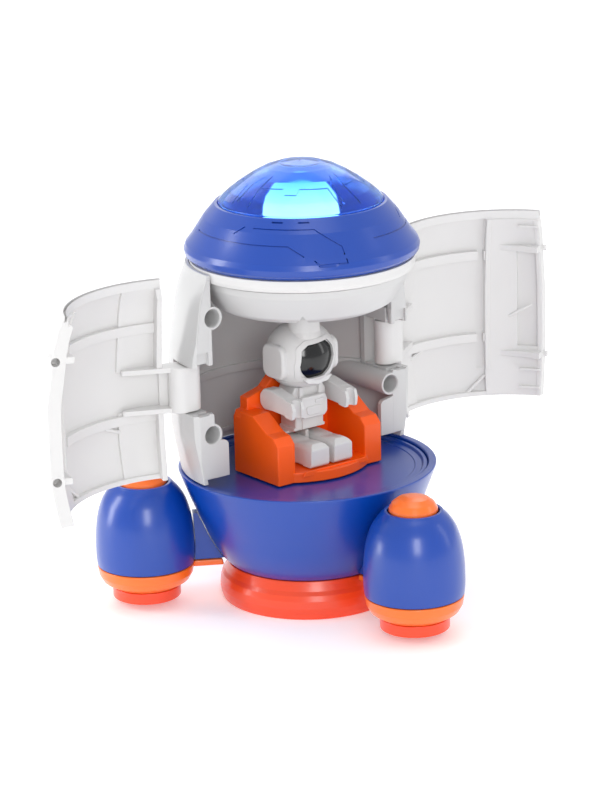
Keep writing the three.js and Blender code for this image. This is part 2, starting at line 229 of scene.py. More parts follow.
def makeRoundTree():
    tree = bpy.data.node_groups.new("repeatRound", "GeometryNodeTree")
    face = tree.interface
    face.new_socket("Geometry", in_out="INPUT", socket_type="NodeSocketGeometry")
    for label, kind, value in (("Count", "NodeSocketInt", 3), ("Orbit", "NodeSocketFloat", 0.07),
                               ("First angle", "NodeSocketFloat", 0.0)):
        face.new_socket(label, in_out="INPUT", socket_type=kind).default_value = value
    face.new_socket("Finish", in_out="INPUT", socket_type="NodeSocketMaterial")
    face.new_socket("Geometry", in_out="OUTPUT", socket_type="NodeSocketGeometry")
    node, link = tree.nodes.new, tree.links.new

    def maths(operation, a, b=None):
        step = node("ShaderNodeMath")
        step.operation = operation
        for socket, value in zip(step.inputs, (a, b)):
            if isinstance(value, (int, float)):
                socket.default_value = value
            elif value is not None:
                link(value, socket)
        return step.outputs[0]

    given = node("NodeGroupInput")
    angle = maths("MULTIPLY", node("GeometryNodeInputIndex").outputs[0],
                  maths("DIVIDE", 2 * math.pi, given.outputs["Count"]))
    angle = maths("ADD", angle, given.outputs["First angle"])
    spot = node("ShaderNodeCombineXYZ")
    link(maths("MULTIPLY", maths("COSINE", angle), given.outputs["Orbit"]), spot.inputs["X"])
    link(maths("MULTIPLY", maths("SINE", angle), given.outputs["Orbit"]), spot.inputs["Y"])
    turn = node("ShaderNodeCombineXYZ")
    link(angle, turn.inputs["Z"])
    points = node("GeometryNodePoints")
    link(given.outputs["Count"], points.inputs["Count"])
    link(spot.outputs[0], points.inputs["Position"])
    copies = node("GeometryNodeInstanceOnPoints")
    link(points.outputs[0], copies.inputs["Points"])
    link(given.outputs["Geometry"], copies.inputs["Instance"])
    link(turn.outputs[0], copies.inputs["Rotation"])
    real = node("GeometryNodeRealizeInstances")
    link(copies.outputs[0], real.inputs[0])
    paint = node("GeometryNodeSetMaterial")
    link(real.outputs[0], paint.inputs["Geometry"])
    link(given.outputs["Finish"], paint.inputs["Material"])
    link(paint.outputs[0], node("NodeGroupOutput").inputs[0])
    return tree


roundTree = makeRoundTree()


# one copy of a solid for each node, on a circle round the axis; the solid's own +X points outwards
def makeRound(name, solid, look, nodes, orbit, firstAngle, sharp=36):
    solid.data.transform(Matrix.Scale(mm, 4))
    evenShading(solid, sharp)
    step = solid.modifiers.new("repeat", "NODES")
    step.node_group = roundTree
    values = {"Count": len(nodes), "Orbit": orbit * mm, "First angle": math.radians(firstAngle),
              "Finish": look}
    for item in roundTree.interface.items_tree:
        if item.in_out == "INPUT" and item.name in values:
            step[item.identifier] = values[item.name]
    addPiece(name, plainMesh(solid), "base", nodes)


# finishes

def srgb(red, green, blue):
    return [(c / 12.92 if c <= 0.04045 else ((c + 0.055) / 1.055) ** 2.4) for c in (red, green, blue)] + [1]


# moulded plastic: faint clouds in the colour, a fine grain, and a gloss that varies a little
def makeMouldedGroup():
    group = bpy.data.node_groups.new("mouldedSurface", "ShaderNodeTree")
    face = group.interface
    inputs = (("Colour", "NodeSocketColor", (0.5, 0.5, 0.5, 1)), ("Clouding", "NodeSocketFloat", 0.05),
              ("Cloud size", "NodeSocketFloat", 0.02), ("Roughness", "NodeSocketFloat", 0.35),
              ("Gloss change", "NodeSocketFloat", 0.08), ("Grain size", "NodeSocketFloat", 0.0006),
              ("Flow", "NodeSocketFloat", 0.3))
    for label, kind, value in inputs:
        face.new_socket(label, in_out="INPUT", socket_type=kind).default_value = value
    for label, kind in (("Colour", "NodeSocketColor"), ("Roughness", "NodeSocketFloat"),
                        ("Height", "NodeSocketFloat")):
        face.new_socket(label, in_out="OUTPUT", socket_type=kind)
    node, link = group.nodes.new, group.links.new
    given, out, coords = node("NodeGroupInput"), node("NodeGroupOutput"), node("ShaderNodeTexCoord")

    def noise(size, detail):
        scale = node("ShaderNodeMath")
        scale.operation = "DIVIDE"
        scale.inputs[0].default_value = 1.0
        link(size, scale.inputs[1])
        texture = node("ShaderNodeTexNoise")
        texture.inputs["Detail"].default_value = detail
        link(coords.outputs["Object"], texture.inputs["Vector"])
        link(scale.outputs[0], texture.inputs["Scale"])
        return texture.outputs["Fac"]

    def spread(value, amount, middle):
        step = node("ShaderNodeMath")
        step.operation = "SUBTRACT"
        link(value, step.inputs[0])
        step.inputs[1].default_value = 0.5
        wide = node("ShaderNodeMath")
        wide.operation = "MULTIPLY_ADD"
        link(step.outputs[0], wide.inputs[0])
        link(amount, wide.inputs[1])
        if isinstance(middle, float):
            wide.inputs[2].default_value = middle
        else:
            link(middle, wide.inputs[2])
        return wide.outputs[0]

    clouds = noise(given.outputs["Cloud size"], 3.0)
    shade = spread(clouds, given.outputs["Clouding"], 1.0)
    tint = node("ShaderNodeVectorMath")
    tint.operation = "SCALE"
    link(given.outputs["Colour"], tint.inputs[0])
    link(shade, tint.inputs["Scale"])
    link(tint.outputs[0], out.inputs["Colour"])
    link(spread(clouds, given.outputs["Gloss change"], given.outputs["Roughness"]), out.inputs["Roughness"])
    flow = node("ShaderNodeMath")
    flow.operation = "MULTIPLY_ADD"
    link(clouds, flow.inputs[0])
    link(given.outputs["Flow"], flow.inputs[1])
    link(noise(given.outputs["Grain size"], 2.0), flow.inputs[2])
    link(flow.outputs[0], out.inputs["Height"])
    return group


mouldedSurface = makeMouldedGroup()


# plain holds values for the shader's own sockets; inner holds values for the moulded group
def plastic(name, colour, roughness=0.35, depth=0.02, plain=None, **inner):
    material = bpy.data.materials.new(name)
    material.use_nodes = True
    material.diffuse_color = srgb(*colour)
    node, link = material.node_tree.nodes.new, material.node_tree.links.new
    shader = material.node_tree.nodes["Principled BSDF"]
    surface = node("ShaderNodeGroup")
    surface.node_tree = mouldedSurface
    surface.inputs["Colour"].default_value = srgb(*colour)
    surface.inputs["Roughness"].default_value = roughness
    for label, value in inner.items():
        surface.inputs[label.replace("_", " ").capitalize()].default_value = value
    link(surface.outputs["Colour"], shader.inputs["Base Color"])
    link(surface.outputs["Roughness"], shader.inputs["Roughness"])
    bump = node("ShaderNodeBump")
    bump.inputs["Strength"].default_value = 0.6
    bump.inputs["Distance"].default_value = depth * mm
    link(surface.outputs["Height"], bump.inputs["Height"])
    link(bump.outputs[0], shader.inputs["Normal"])
    for label, value in (plain or {}).items():
        shader.inputs[label].default_value = value
    return material


satin = {"Coat Weight": 0.5, "Coat Roughness": 0.2}
finish = {
    "blue": plastic("satinBlue", (0.0, 0.25, 0.64), 0.33, 0.010, satin, clouding=0.06, cloud_size=0.03),
    "orange": plastic("brightOrange", (1.0, 0.45, 0.10), 0.32, 0.010, satin, clouding=0.05),
    "deepOrange": plastic("deepOrange", (0.95, 0.27, 0.08), 0.34, 0.012, satin, clouding=0.07),
    "seat": plastic("seatOrange", (1.0, 0.36, 0.0), 0.4, 0.012, {"Coat Weight": 0.1}, clouding=0.06),
    "white": plastic("doorWhite", (0.855, 0.85, 0.845), 0.42, 0.016, {"Coat Weight": 0.12},
                     clouding=0.03, grain_size=0.0005),
    # pale grey plastic, made darker than the doors' white as painted shade for the inside of the cabin
    "grey": plastic("shellGreyWithPaintedShade", (0.79, 0.788, 0.785), 0.42, 0.014, {"Coat Weight": 0.12}, clouding=0.03),
    "figure": plastic("figureGrey", (0.84, 0.835, 0.83), 0.45, 0.02, {"Coat Weight": 0.08}, clouding=0.05),
    "visor": plastic("darkVisor", (0.03, 0.03, 0.035), 0.16, 0.002,
                     {"Coat Weight": 0.3, "Coat Roughness": 0.1}, clouding=0.1),
    # the lamp's glow; its white and its strength also paint in a highlight at the dome's bright centre
    "glow": plastic("lampGlowWithPaintedHighlight", (0.86, 0.95, 1.0), 0.4, 0.004,
                    {"Emission Color": srgb(0.75, 0.9, 1.0), "Emission Strength": 5.0}, clouding=0.04),
    "lens": plastic("clearBlue", (0.48, 0.68, 0.97), 0.1, 0.002,
                    {"Transmission Weight": 0.92, "IOR": 1.3},
                    clouding=0.04, gloss_change=0.02),
    "steel": plastic("brightSteel", (0.74, 0.75, 0.77), 0.28, 0.004, {"Metallic": 1.0}, clouding=0.05),
    "board": plastic("boardGreen", (0.10, 0.42, 0.24), 0.4, 0.01, satin, clouding=0.1),
    "black": plastic("holderBlack", (0.10, 0.10, 0.11), 0.45, 0.02, clouding=0.08),
}


# the white at the foot is a painted highlight for the bright centre of the dome, over the lamp's blue glow
glowFade = {"low": 166, "high": 184, "foot": (0.97, 1.0, 1.0), "top": (0.25, 0.6, 0.98)}


# the core's light fades from white at the foot to blue at the top; it is the lamp's light, and the white at
# the foot is also a painted highlight for the bright centre of the dome; a colour mix has its colours at 6
# and 7
def fadeGlowIntoPaintedHighlight(material):
    node, link = material.node_tree.nodes.new, material.node_tree.links.new
    coords = node("ShaderNodeTexCoord")
    split = node("ShaderNodeSeparateXYZ")
    ramp = node("ShaderNodeMapRange")
    blend = node("ShaderNodeMix")
    blend.data_type = "RGBA"
    link(coords.outputs["Object"], split.inputs[0])
    link(split.outputs["Z"], ramp.inputs["Value"])
    ramp.inputs["From Min"].default_value = glowFade["low"] * mm
    ramp.inputs["From Max"].default_value = glowFade["high"] * mm
    link(ramp.outputs[0], blend.inputs[0])
    blend.inputs[6].default_value = srgb(*glowFade["foot"])
    blend.inputs[7].default_value = srgb(*glowFade["top"])
    link(blend.outputs[2], material.node_tree.nodes["Principled BSDF"].inputs["Emission Color"])


fadeGlowIntoPaintedHighlight(finish["glow"])
for node, key in (("left_hinge_pin", "steel"), ("right_hinge_pin", "steel"), ("lamp_board", "board"),
                  ("lamp", "glow"), ("battery_holder", "black"), ("light_tray", "blue"),
                  ("button_cell_1", "steel"), ("button_cell_2", "steel"), ("button_cell_3", "steel")):
    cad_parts[node].data.materials.clear()
    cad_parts[node].data.materials.append(finish[key])
print("finishes made")


# foot, bowl and deck

footSizes = {
    "outline": [(0, 0), (38.2, 0, 0.8), (39.0, 2.6), (39.25, 5), (38.9, 8.2), (38.2, 10.6, 0.2),
                (37.0, 12.2, 0.6), (36.0, 14.6), (35.5, 16.3, 0.4), (33.4, 16.3, 0.4), (33.4, 3), (0, 3)],
    "screwOrbit": 26, "firstScrew": 330, "screwHead": 3.1, "headDepth": 1.6, "screwHole": 1.6, "holeDepth": 4,
}


def makeFoot():
    size = footSizes
    foot = turned(rounded(size["outline"], 1.6, closed=False))
    holes = []
    for k in range(3):
        angle = math.radians(size["firstScrew"] - 120 * k)
        x, y = size["screwOrbit"] * math.cos(angle), size["screwOrbit"] * math.sin(angle)
        holes.append(bar((x, y, -1), (x, y, size["headDepth"]), size["screwHead"], bevel=0))
        holes.append(bar((x, y, -1), (x, y, size["holeDepth"]), size["screwHole"], bevel=0))
    return fused(foot, cuts=holes)


makePiece("footRing", makeFoot(), finish["deepOrange"], "base", ["foot"])

screwSizes = {"head": 2.8, "headLow": 0.2, "headHigh": 1.4, "shank": 1.15, "top": 15,
              "crossHalf": 1.7, "crossThin": 0.28, "crossDepth": 0.75}


def makeScrew():
    head, shank, top = screwSizes["head"], screwSizes["shank"], screwSizes["top"]
    low, high = screwSizes["headLow"], screwSizes["headHigh"]
    shape = [(0, low), (head, low, 0.5), (head, high, 0.1), (shank, high, 0.1), (shank, top - 1), (0.2, top),
             (0, top)]
    screw = turned(rounded(shape, 0.1, closed=False, steps=3), 40)
    half, thin, deep = screwSizes["crossHalf"], screwSizes["crossThin"], screwSizes["crossDepth"]
    return fused(screw, cuts=[block(-half, half, -thin, thin, 0, deep, 0),
                              block(-thin, thin, -half, half, 0, deep, 0)])


makeRound("footScrews", makeScrew(), finish["steel"],
          ["foot_screw_1", "foot_screw_2", "foot_screw_3"], footSizes["screwOrbit"], footSizes["firstScrew"])

bowlSizes = {
    "line": [(35.6, 16.8), (38.0, 19.2), (40.9, 23.6), (43.8, 29), (46.4, 35), (48.8, 40.4), (50.9, 45.4),
             (52.8, 50.4), (54.4, 54.6), (55.5, 57.6)],
    "wall": 2.4, "rimTop": 58.8, "rimInner": 52.25,
}


def makeBowl():
    outside = curveThrough(bowlSizes["line"], 5)
    top, inner = bowlSizes["rimTop"], bowlSizes["rimInner"]
    rim = rounded([outside[-1], (55.8, top, 1.1), (inner, top, 0.7), (inner, 54.2), (50.2, 53.2)], 0.3,
                  closed=False)
    inside = [p for p in inset(outside, bowlSizes["wall"]) if 20 < p[1] < 52][::-1]
    return turned([Vector((0, 16.8)), *outside, *rim[1:], *inside, Vector((35, 19)), Vector((0, 19))], 160)


makePiece("blueBowl", makeBowl(), finish["blue"], "base", ["bowl"])

deckSizes = {"outline": [(0, 54.5), (51.9, 54.5), (51.9, 57.9, 0.6), (50.2, 57.9, 0.5), (49.4, 56.8, 0.4),
                         (46.6, 56.8, 0.3), (46.2, 56.45, 0.2), (0, 56.45)]}
makePiece("blueDeck", turned(rounded(deckSizes["outline"], 0.3, closed=False), 160), finish["blue"],
          "base", ["deck"])
print("foot, bowl and deck made")


# boosters and their webs

boosterSizes = {
    "orbit": 71.4, "firstAngle": 270, "wall": 1.8,
    "line": [(20.9, 18.4), (21.25, 22), (21.3, 27), (20.95, 34), (19.9, 41), (17.9, 47), (15.3, 51.2),
             (12.9, 53.8)],
    "band": [(0, 8.7), (15.0, 8.7, 0.5), (18.6, 10.9), (20.3, 13.9), (20.95, 17.9, 0.5), (19.3, 17.9, 0.3),
             (18.8, 14.6), (17.4, 12), (14.6, 10.4), (0, 10.4)],
    "nozzle": [(0, 6.5), (12.2, 6.5), (12.4, 3.2, 0.5), (14.7, 3.2, 0.7), (14.75, 8.3), (0, 8.3)],
    "cap": [(0, 59.4), (4, 59.1), (7.4, 57.3), (8.0, 54), (8.2, 50), (9.2, 50), (9.4, 54.0),
            (10.35, 54.1, 0.3), (10.2, 55.6, 0.5), (8.9, 57.9), (6.4, 59.8), (3.2, 60.6), (0, 60.8)],
}


def makeBoosterShell():
    outside = curveThrough(boosterSizes["line"], 6)
    lip = rounded([outside[-1], (12.2, 54.6, 0.5), (10.9, 54.6, 0.4), (10.9, 52.8)], 0.3, closed=False)
    inside = [p for p in inset(outside, boosterSizes["wall"]) if p[1] < 51][::-1]
    return turned([*outside, *lip[1:], *inside], 112)


# three of a piece, at the boosters' places
def atBoosters(name, solid, colour, node, sharp=36):
    makeRound(name, solid, finish[colour], [f"{node}_{n}" for n in (1, 2, 3)], boosterSizes["orbit"],
              boosterSizes["firstAngle"], sharp)


atBoosters("boosterShells", makeBoosterShell(), "blue", "booster_shell", 30)
for label, radius, sides, colour, slot in (("band", 2.2, 112, "orange", "orange_plastic"),
                                           ("nozzle", 0.3, 96, "deepOrange", "deep_orange_plastic"),
                                           ("cap", 2.0, 96, "orange", "orange_plastic")):
    solid = turned(rounded(boosterSizes[label], radius, closed=False), sides)
    atBoosters(f"booster{label.capitalize()}s", solid, colour, f"booster_{label}", 30)

webSizes = {"half": 2.95, "low": 18.5, "high": 39.4, "trimHalf": 3.4, "trimLow": 15.3, "trimHigh": 18}


# a plate on the line from the axis to a booster, moved so that the booster's place is its origin
def radialPlate(outline, half, bevel):
    plate = prism(outline, -half, half, "y", bevel)
    plate.data.transform(Matrix.Translation((-boosterSizes["orbit"], 0, 0)))
    return plate


# the space between bowl and booster, seen from the side
def makeWeb():
    low, high, orbit = webSizes["low"], webSizes["high"], boosterSizes["orbit"]
    edge = [(p[0] + 0.25, p[1]) for p in curveThrough(bowlSizes["line"], 5) if low < p[1] < high]
    outline = [(edge[0][0] - 1.2, low), *edge, (edge[-1][0] + 1.0, high), (orbit - 20.9, high),
               (orbit - 21.45, 27), (orbit - 21.1, low)]
    return radialPlate(outline, webSizes["half"], 0.5)


atBoosters("blueWebs", makeWeb(), "blue", "web")


def makeTrim():
    far = boosterSizes["orbit"] - 20.6
    low, high = webSizes["trimLow"], webSizes["trimHigh"]
    return radialPlate([(37.8, low), (38.4, high), (far, high), (far + 0.6, low)], webSizes["trimHalf"], 0.6)


atBoosters("orangeTrims", makeTrim(), "orange", "web_trim")
print("boosters made")


# cabin shell

cabinSizes = {
    "line": [(54.4, 59.3), (55.5, 65), (56.6, 71), (57.9, 79), (58.15, 88), (58.15, 108), (57.7, 114.5),
             (56.5, 121), (55.5, 127.6), (54.6, 134), (53.2, 140), (51.9, 143.5), (50.4, 147), (49.7, 149.7)],
    "low": 59.3, "high": 149.7, "wall": 2.2, "frameInner": 48.2, "frameDepth": 3,
    "frames": [(112, 147.6), (61.6, 89.6)], "ribs": [(86.5, 90.2), (125.4, 129.2), (61.8, 63.8)],
    "cupRoom": [(0, 128), (36.8, 129.2), (41.4, 135), (45, 141), (46.6, 145), (48.2, 145.2), (48.2, 152),
                (0, 152)],
    "bossRing": 5.0, "bossBore": 3.8,
    "bosses": [(-47.6, 131.1), (-49.3, 80.6), (47.6, 131.1), (47.1, 84.2)], "bossDepth": 17,
    "slotLow": 90, "slotHigh": 111, "slotDepth": 20,
}
hinge = {"x": 53.2, "y": 11, "knuckle": 4.8, "pin": 1.6, "low": 90.6, "high": 110.4,
         "leftOpen": 113, "rightOpen": 121}


def cabinRadius(z):
    line = cabinSizes["line"]
    z = min(max(z, line[0][1]), line[-1][1])
    for (r0, z0), (r1, z1) in zip(line, line[1:]):
        if z <= z1:
            return r0 + (r1 - r0) * (z - z0) / (z1 - z0)


def between(low, high, most):
    count = max(1, math.ceil(abs(high - low) / most))
    return [low + (high - low) * k / count for k in range(count + 1)]


# part of the cabin's wall: angles in degrees, heights, and how far its faces lie inside the outer line
def wallPart(angles, heights, outer, inner, bevel=0.3, innerEnd=None):
    bm = bmesh.new()
    grid = []
    heightList = between(*heights, 3)
    angleList = between(*angles, 2.5)
    for a in angleList:
        share = (a - angles[0]) / (angles[1] - angles[0])
        deep = inner if innerEnd is None else inner + (innerEnd - inner) * share
        turn = math.radians(a)
        column = []
        for z in heightList:
            for by in (outer, deep):
                r = cabinRadius(z) - by
                column.append(bm.verts.new((r * math.cos(turn), r * math.sin(turn), z)))
        grid.append(column)
    rows = len(heightList)
    for a, b in zip(grid, grid[1:]):
        for k in range(rows - 1):
            for side in (0, 1):
                bm.faces.new((a[2 * k + side], a[2 * k + 2 + side], b[2 * k + 2 + side], b[2 * k + side]))
        bm.faces.new((a[0], a[1], b[1], b[0]))
        bm.faces.new((a[-2], a[-1], b[-1], b[-2]))
    for column in (grid[0], grid[-1]):
        for k in range(rows - 1):
            bm.faces.new((column[2 * k], column[2 * k + 1], column[2 * k + 3], column[2 * k + 2]))
    return solidFrom(bm, bevel, 2, 40)


def cabinInside(by):
    low, high = cabinSizes["low"], cabinSizes["high"]
    line = [(cabinRadius(z) - by, z) for z in between(low, high, 3)]
    return turned([(0, low), *line, (0, high)], 144)


def makeRearShell():
    inner = cabinSizes["frameInner"]
    parts, cuts = [], []
    for side in (-1, 1):
        for low, high in cabinSizes["frames"]:
            outside = [(side * (cabinRadius(z) + 2), z) for z in (low, high)]
            frameLine = [(side * inner, low), *outside, (side * inner, high)]
            parts.append(prism(frameLine, 0.05, cabinSizes["frameDepth"], "y", 0.3))
        parts.append(block(*sorted((side * 48.0, side * 50.2)), 0.1, 2.4, 110.9, 118, 0.5))
        parts.append(block(*sorted((side * 48.6, side * 50.6)), 0.1, 2.4, 86, 93, 0.5))
        parts.append(block(*sorted((side * (hinge["x"] - 4.5), side * 60)), 5, 23, 85, 117.5, 0.4))
        cuts.append(block(*sorted((side * 50.4, side * 56.2)), -1, 1.6, 108, 117, 0.2))
        cuts.append(block(*sorted((side * 45.5, side * 62)), -1, cabinSizes["slotDepth"],
                          cabinSizes["slotLow"], cabinSizes["slotHigh"], 0.3))
        cuts.append(bar((side * hinge["x"], hinge["y"], 86.8), (side * hinge["x"], hinge["y"], 116),
                        hinge["pin"], bevel=0))
        plate = [(side * 49, 61.6), (side * 41.4, 61.6), (side * 41.4, 77.0, 2.2), (side * 49, 78.6)]
        parts.append(prism(rounded(plate, 0.2), 0.1, 2.2, "y", 0.3))
        edge = [(side * 55.6, -1), (side * 55.6, 0), (side * 58.9, 2.0), (side * 62, 2.0), (side * 62, -1)]
        cuts.append(prism(edge, 40, 160, "z", 0))
    for x, z in cabinSizes["bosses"]:
        parts.append(bar((x, 0.05, z), (x, 40, z), cabinSizes["bossRing"], 48, 0.4))
        cuts.append(bar((x, -1, z), (x, cabinSizes["bossDepth"], z), cabinSizes["bossBore"], 40, 0))
        cuts.append(bar((x, -0.6, z), (x, 0.7, z), cabinSizes["bossBore"] + 0.9, 40, 0,
                        cabinSizes["bossBore"] - 0.1))
    inside = fused(parts[0], parts[1:], limits=[cabinInside(0.6)])
    ribs = [wallPart((3, 177), heights, 0.6, 3.6) for heights in cabinSizes["ribs"]]
    wall = wallPart((0.3, 179.7), (cabinSizes["low"], cabinSizes["high"]), 0, cabinSizes["wall"], 0.35)
    return fused(wall, [inside, *ribs], [*cuts, turned(cabinSizes["cupRoom"], 96)])


# the rear shell's grey is darkened as painted shade for the inside of the cabin
makePiece("rearShell", makeRearShell(), finish["grey"], "base", ["rear_shell"])
print("cabin shell made")


# doors, drawn closed on the +X side, then mirrored where needed and swung open about their hinge

doorSizes = {
    "low": 61.7, "high": 149.4, "skin": 1.5, "raised": 2.7, "thick": 4.0, "ribInset": 3.9,
    "ribLow": (86.5, 90.6), "ribHigh": (125.4, 129.9), "hingeBand": 21, "step": 61, "pocket": 77,
    "pegs": [(-55.4, 81), (-53.8, 131)], "peg": 1.3, "shelfFar": 24, "smallRibs": (141.8, 74, 66),
    # from and to as angle and height, and the depth that the strut lies at
    "struts": [((73, 98.4), (84, 104.3), 3.8), ((51, 63), (61, 70.8), 2.2), ((20, 83.5), (28, 86.5), 2.2)],
}


def doorPart(angles, heights, outer, inner, bevel=0.25, innerEnd=None):
    return wallPart((360 - angles[1], 360 - angles[0]), heights, outer, innerEnd or inner, bevel,
                    inner if innerEnd else None)


def doorPoint(angle, z, by):
    r = cabinRadius(z) - by
    return (r * math.cos(math.radians(angle)), -r * math.sin(math.radians(angle)), z)


def makeDoor(hasPegs):
    size = doorSizes
    ribEnd, strip = (size["step"] + 1, 4.5) if hasPegs else (86.8, 5.6)
    low, high, skin, raised = size["low"], size["high"], size["skin"], size["raised"]
    door = doorPart((0.5, 89.5), (low, high), 0.05, skin, 0.35)
    parts = [
        doorPart((0.8, 89.2), (145.4, high - 0.3), 0.6, 3.9),
        doorPart((0.8, 89.2), (low + 0.2, low + 2.2), 0.6, 3.7),
        doorPart((0.8, size["hingeBand"]), (low + 1, hinge["low"] + 1), 0.6, raised),
        doorPart((0.8, size["hingeBand"]), (hinge["high"] - 1, 146), 0.6, raised),
        doorPart((size["step"], 89.2), (low + 1, 146), 0.6, size["thick"]),
        doorPart((size["step"] + 0.2, size["step"] + 2.4), (74, 146), 0.6, size["thick"] + 0.8),
        doorPart((0.8, 3.6), (low + 0.3, hinge["low"] + 1), 0.6, 8, 0.4),
        doorPart((0.8, 3.6), (hinge["high"] - 1, 149), 0.6, 8, 0.4),
        doorPart((86.6, 89.4), (low + 0.3, 146), 0.6, strip, 0.5),
        doorPart((2, ribEnd), size["ribHigh"], 0.6, size["ribInset"], 0.35),
        doorPart((2, ribEnd), size["ribLow"], 0.6, size["ribInset"], 0.35),
        doorPart((67, 89), (129.9, 132.6), 0.8, 3.8, 0.25, 9),
        doorPart((67, 89), (79.8, 82.5), 0.8, 3.8, 0.25, 9),
    ]
    for z in size["smallRibs"]:
        parts.append(doorPart((78, 88.6), (z - 0.5, z + 0.5), 0.8, 5.6, 0.15))
    for start, end, by in size["struts"]:
        parts.append(bar(doorPoint(*start, by), doorPoint(*end, by), 0.8, 12, 0.2))
    far = doorPoint(size["shelfFar"], 100, 2.6)
    shelf = rounded([(hinge["x"] - hinge["knuckle"], hinge["y"]), (far[0], far[1], 1.2), (57.0, -6),
                     (57.4, -1, 3), (hinge["x"] + hinge["knuckle"], hinge["y"])], 0)
    for z in (hinge["low"], hinge["high"] - 2.2):
        parts.append(prism(shelf, z, z + 2.2, "z", 0.3))
    web = [(52.8, 8), (55.0, -1.5), (57.0, -1.5), (57.2, 8)]
    parts.append(prism(web, hinge["low"] + 0.2, hinge["high"] - 0.2, "z", 0.3))
    knuckle = longRound((hinge["x"], hinge["y"]), (hinge["x"] - 1.8, hinge["y"] - 4.3), hinge["knuckle"])
    parts.append(prism(knuckle, hinge["low"], hinge["high"], "z", 0.7))
    cuts = [
        bar((hinge["x"], hinge["y"], 80), (hinge["x"], hinge["y"], 120), hinge["pin"], bevel=0),
        doorPart((-2, 92), (high - 2.4, high + 2), 0.7, 1.7, 0),
        doorPart((size["pocket"], 86.7), (84.5, 129.5), 1.9, 4.4, 0.2),
        doorPart((57.2, 60.4), (74, 145.6), 1.0, 4, 0.1),
        turned([(0, 138), (43.4, 138), (46.5, 145.2), (48.2, 145.2), (48.2, 152), (0, 152)], 96),
    ]
    for y, z in size["pegs"]:
        if hasPegs:
            parts.append(bar((3, y, z), (-1.2, y, z), size["peg"], 24, 0.3))
        else:
            parts.append(bar((7.2, y + 0.6, z), (0.5, y + 0.6, z), 2.9, 32, 0.4))
            cuts.append(bar((5.8, y, z), (-1, y, z), size["peg"] + 0.55, 32, 0))
    return fused(door, parts, cuts)


# the outline of two equal circles and all that lies between them
def longRound(start, end, radius, steps=20):
    points = []
    first = math.atan2(end[1] - start[1], end[0] - start[0]) - math.pi / 2
    for centre, offset in ((end, 0), (start, math.pi)):
        for k in range(steps + 1):
            angle = first + offset + math.pi * k / steps
            points.append((centre[0] + radius * math.cos(angle), centre[1] + radius * math.sin(angle)))
    return points


def openPlace(side, degrees):
    pivot = Matrix.Translation((hinge["x"] * side, hinge["y"], 0))
    turn = Matrix.Rotation(math.radians(degrees * side), 4, "Z")
    return pivot @ turn @ pivot.inverted() @ Matrix.Diagonal((side, 1, 1, 1))


makePiece("leftDoor", makeDoor(False), finish["white"], "left_door", ["left_door"],
          place=openPlace(-1, hinge["leftOpen"]))
makePiece("rightDoor", makeDoor(True), finish["white"], "right_door", ["right_door"],
          place=openPlace(1, hinge["rightOpen"]))
print("doors made")


# neck cup and ring

neckSizes = {
    "notchAngle": 232,
    "cup": [(0, 129.7), (34.6, 129.7, 2.0), (38.7, 131.8, 3), (42.3, 137.6), (44.6, 142), (45.5, 145.1, 0.3),
            (43.6, 145.1), (42.4, 142), (40.2, 138), (37.2, 133.2), (34, 131.7), (0, 131.7)],
    "ring": [(43.8, 145.6), (47.3, 145.6, 0.7), (47.85, 147.2, 0.5), (47.85, 150.6, 0.2), (43.8, 150.6)],
}


def makeNeckCup():
    cup = turned(rounded(neckSizes["cup"], 4, closed=False), 144)
    notch = prism([(-3.4, 128), (3.4, 128), (0.4, 133.6), (-0.4, 133.6)], 30, 45, "y", 0)
    notch.data.transform(Matrix.Rotation(math.radians(neckSizes["notchAngle"] - 90), 4, "Z"))
    return fused(cup, cuts=[notch])


# the neck cup shares the grey that is darkened as painted shade
makePiece("neckCup", makeNeckCup(), finish["grey"], "base", ["neck_cup"])
makePiece("neckRing", turned(rounded(neckSizes["ring"], 0.1), 144), finish["white"], "base",
          ["neck_ring"])


# dome: collar with its panel lines, clear lens and light core

domeSizes = {
    "collar": [(45.4, 151.1), (47.3, 151.1, 0.5), (49.5, 152.9), (50, 155.3), (49.1, 157.6), (46.6, 160.8),
               (41.3, 168.8), (36.6, 174.2, 0.4), (35.2, 174.2, 0.2), (35.2, 172.5), (39.4, 167),
               (44.4, 159.4), (46.6, 155.4)],
    "lens": [(34.9, 172.5), (34.9, 174.9, 0.3), (33.2, 176.9), (30.2, 179.5), (25.2, 183.1), (19.8, 186.5),
             (14.8, 189.0), (9, 190.8), (0, 191.55)],
    "lensInside": [(0, 189.8), (8.7, 188.9), (18.9, 184.8), (28.6, 178.2), (33.2, 173.8), (33.2, 172.5)],
    "core": [(0, 182), (5, 181.2), (9.6, 178.8), (13, 174.8), (14.4, 170), (14.4, 156.6), (16, 156.6, 0.3),
             (16, 170), (14.8, 175.8), (11.2, 180), (6, 182.8), (0, 183.5)],
    "lineWidth": 0.55, "lineDepth": 0.45, "lensLineWidth": 0.45, "lensLineDepth": 0.35,
}


# radius and outward lean of the dome's outer line at a height
def domeAt(line, z):
    for (r0, z0), (r1, z1) in zip(line, line[1:]):
        if min(z0, z1) <= z <= max(z0, z1) and abs(z1 - z0) > 1e-6:
            r = r0 + (r1 - r0) * (z - z0) / (z1 - z0)
            return r, Vector((z1 - z0, r0 - r1)).normalized()
    return line[-1][0], Vector((0, 1))


